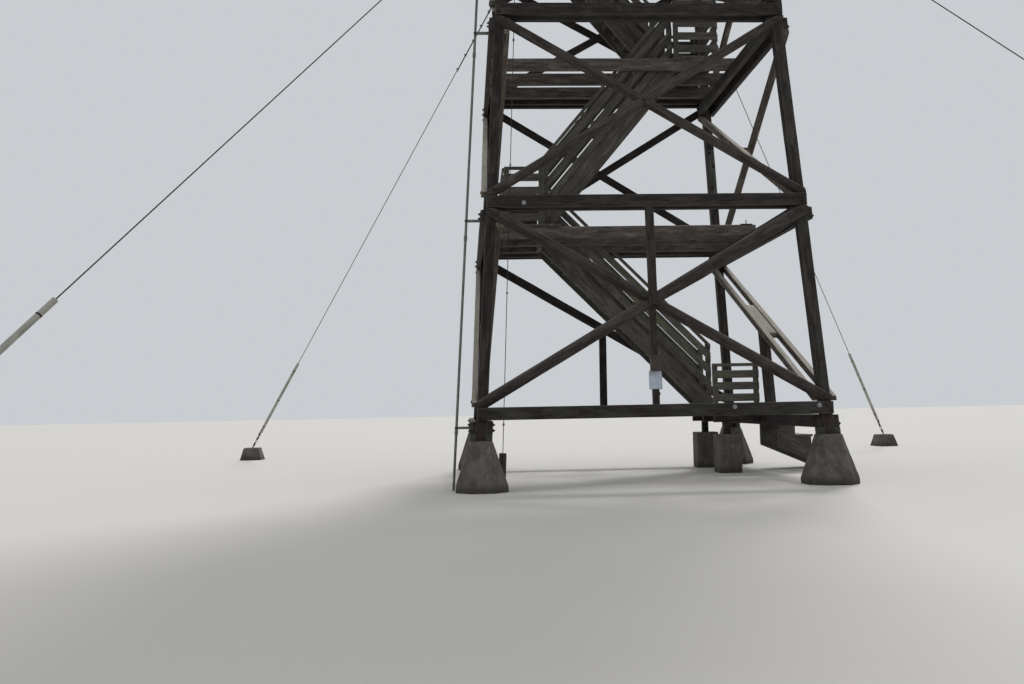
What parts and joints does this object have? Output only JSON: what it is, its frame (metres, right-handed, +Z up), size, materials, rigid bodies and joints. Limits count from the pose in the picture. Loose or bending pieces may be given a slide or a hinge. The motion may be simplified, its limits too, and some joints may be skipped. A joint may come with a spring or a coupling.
{
  "type": "fire lookout tower",
  "caption": "Open-frame timber lookout tower on cast piers, with crossed braces, stairs inside the frame, taut guy wires and a hip-roofed cab with a catwalk.",
  "frame": {"origin": "level of the pier bottoms, in the middle between the four legs", "axes": "+Z up, +X to the right along the front, +Y from front to back"},
  "size_m": [17.8536, 17.8536, 14.49],
  "materials": {
    "treated_timber": "dark weathered preservative-treated timber",
    "grey_lumber": "silver-grey weathered softwood boards",
    "painted_siding": "weathered off-white paint on boards",
    "roof_shingles": "weathered wood shingles",
    "concrete": "cast concrete",
    "galvanised_steel": "weathered galvanised steel",
    "pipe_steel": "weathered grey-green galvanised pipe",
    "guard_plastic": "faded tube",
    "clear_glass": "clear window glass",
    "notice_paper": "blank pale sheet in a sleeve",
    "box_metal": "dark painted metal"
  },
  "bodies": {
    "root": {"back_braces": "treated_timber", "back_girts": "treated_timber", "brace_spacers": "treated_timber", "cab_ceiling": "painted_siding", "cab_door": "painted_siding", "cab_wall_back": "painted_siding", "cab_wall_front": "painted_siding", "cab_wall_left": "painted_siding", "cab_wall_right": "painted_siding", "cap_beams": "treated_timber", "catwalk_floor": "grey_lumber", "catwalk_railing": "grey_lumber", "entry_post": "treated_timber", "entry_steps": "grey_lumber", "flight_1_guards": "grey_lumber", "flight_1_stringers": "grey_lumber", "flight_1_treads": "grey_lumber", "flight_2_guards": "grey_lumber", "flight_2_stringers": "grey_lumber", "flight_2_treads": "grey_lumber", "flight_3_guards": "grey_lumber", "flight_3_stringers": "grey_lumber", "flight_3_treads": "grey_lumber", "floor_joists": "treated_timber", "front_braces": "treated_timber", "front_girts": "treated_timber", "front_mid_post": "treated_timber", "ground_wire": "galvanised_steel", "guy_anchors": "concrete", "guy_collars": "galvanised_steel", "guy_guards": "guard_plastic", "guy_wires": "galvanised_steel", "landing_decks": "grey_lumber", "landing_guards": "grey_lumber", "landing_joists": "treated_timber", "left_braces": "treated_timber", "left_girts": "treated_timber", "leg_back_left": "treated_timber", "leg_back_right": "treated_timber", "leg_front_left": "treated_timber", "leg_front_right": "treated_timber", "leg_shoes": "galvanised_steel", "leg_splices": "treated_timber", "notice_box": "box_metal", "notice_sheet": "notice_paper", "pier_back_left": "concrete", "pier_back_right": "concrete", "pier_front_left": "concrete", "pier_front_right": "concrete", "pipe_brackets": "pipe_steel", "platform_deck": "grey_lumber", "platform_frame": "treated_timber", "platform_guard": "grey_lumber", "platform_pads": "concrete", "right_braces": "treated_timber", "right_girts": "treated_timber", "roof": "roof_shingles", "roof_cap": "galvanised_steel", "side_pipe": "pipe_steel", "window_glass": "clear_glass"}
  },
  "joints": []
}
